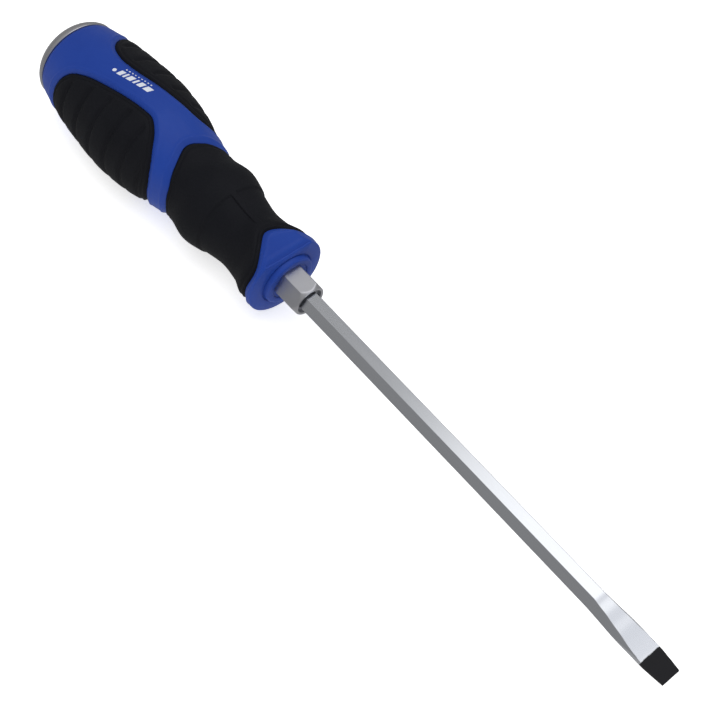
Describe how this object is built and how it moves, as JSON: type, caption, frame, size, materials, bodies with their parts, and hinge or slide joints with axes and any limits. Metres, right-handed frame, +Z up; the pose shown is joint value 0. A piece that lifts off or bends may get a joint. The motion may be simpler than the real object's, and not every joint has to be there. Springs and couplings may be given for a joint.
{
  "type": "slotted screwdriver",
  "caption": "Go-through slotted screwdriver: hexagonal steel blade with bolster, contoured plastic and rubber handle, and a steel strike cap for hammer blows.",
  "frame": {"origin": "middle of the blade's end face, where it bears on the bottom of a screw's slot", "axes": "+X along the blade and out of its tip, so the handle lies towards -X; +Z up, square to a flat of the hexagonal shank, of the bolster and of the collar"},
  "size_m": [0.2563, 0.0354, 0.0352],
  "materials": {
    "blade_steel": "satin chrome plate, with a blackened slotted tip",
    "bolster_steel": "plain zinc-grey steel, dull",
    "core_plastic": "hard moulded plastic, hidden inside the handle",
    "blue_plastic": "blue hard plastic with a fine moulded satin surface",
    "black_rubber": "soft black overmoulded rubber, matt",
    "cap_steel": "pressed steel, dull, with turning marks",
    "white_ink": "thin white print on the handle"
  },
  "bodies": {
    "root": {"blade": "blade_steel", "bolster": "bolster_steel", "inner_core": "core_plastic", "handle_shell": "blue_plastic", "front_sleeve": "black_rubber", "grip_pad_right": "black_rubber", "grip_pad_left": "black_rubber", "strike_cap": "cap_steel"}
  },
  "joints": []
}
